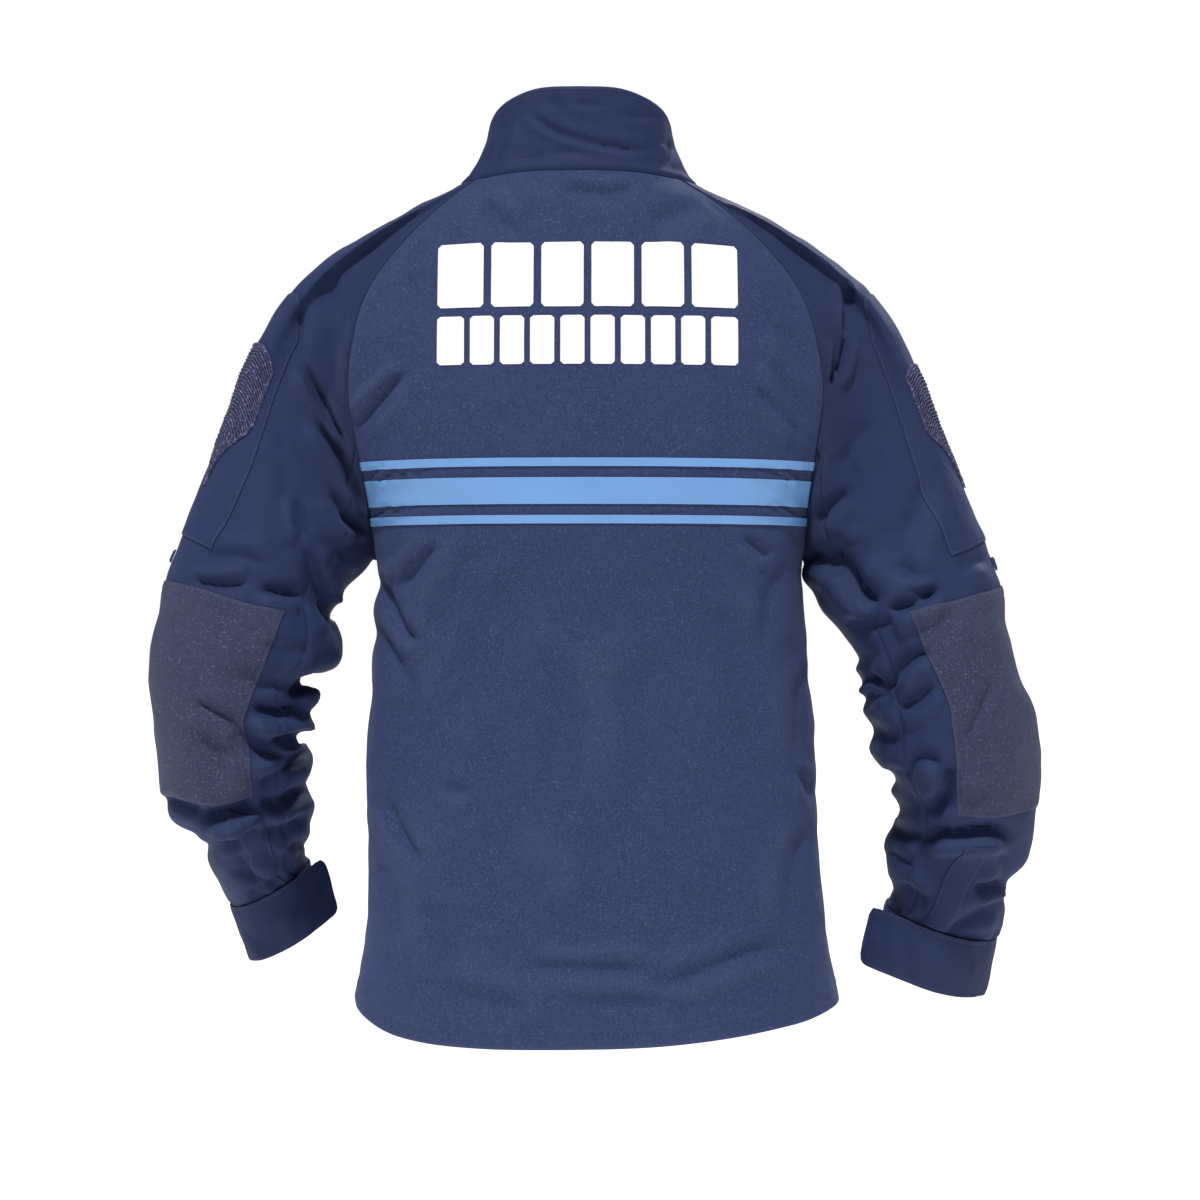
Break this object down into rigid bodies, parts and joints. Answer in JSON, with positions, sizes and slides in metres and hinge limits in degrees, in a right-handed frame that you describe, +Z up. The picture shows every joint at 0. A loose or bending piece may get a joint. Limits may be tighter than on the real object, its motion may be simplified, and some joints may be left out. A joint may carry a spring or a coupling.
{
  "type": "duty shirt",
  "caption": "Long-sleeved duty shirt in its worn form: knitted body, woven raglan sleeves with pockets and elbow patches, stand collar with a neck zip, pale bands across the back.",
  "frame": {"origin": "between the two neck points, where the collar seam crosses the wearer's shoulders", "axes": "+Z up along the wearer's body, -Y towards the front of the shirt, +X towards the wearer's left sleeve"},
  "size_m": [0.7714, 0.2429, 0.8038],
  "materials": {
    "navy_knit": "fine matt knit",
    "navy_woven": "matt twill, polyester and cotton",
    "navy_coarse": "coarse plain weave, hard-wearing",
    "navy_loop": "loop side of a hook-and-loop fastener",
    "sky_blue": "smooth pressed band, soft sheen",
    "white_reflective": "heat-pressed film, slight sheen",
    "zip_tape": "woven tape",
    "zip_metal": "dark coated metal"
  },
  "bodies": {
    "shirt": {"back": "navy_knit", "front": "navy_knit", "sleeve_top_left": "navy_woven", "sleeve_top_right": "navy_woven", "sleeve_under_left": "navy_woven", "sleeve_under_right": "navy_woven", "cuff_left": "navy_woven", "cuff_right": "navy_woven", "placket_left": "navy_woven", "placket_right": "navy_woven", "elbow_patch_left": "navy_coarse", "elbow_patch_right": "navy_coarse", "arm_pocket_left": "navy_woven", "arm_pocket_right": "navy_woven", "loop_panel_left": "navy_loop", "loop_panel_right": "navy_loop", "pocket_tab_left": "navy_woven", "pocket_tab_right": "navy_woven", "collar": "navy_woven", "zip_tape_left": "zip_tape", "zip_tape_right": "zip_tape", "zip_chain": "zip_metal", "zip_slider": "zip_metal", "back_band_top": "sky_blue", "back_band_middle": "sky_blue", "back_band_bottom": "sky_blue", "reflective_upper": "white_reflective", "reflective_lower": "white_reflective"},
    "zip_pull": {"zip_pull": "zip_metal"}
  },
  "joints": [
    {"name": "zip_pull_hinge", "type": "hinge", "parent": "shirt", "child": "zip_pull", "pos_m": [0.0019, -0.0823, -0.0144], "axis": [-1, 0, 0], "range_deg": [0, 170]}
  ]
}
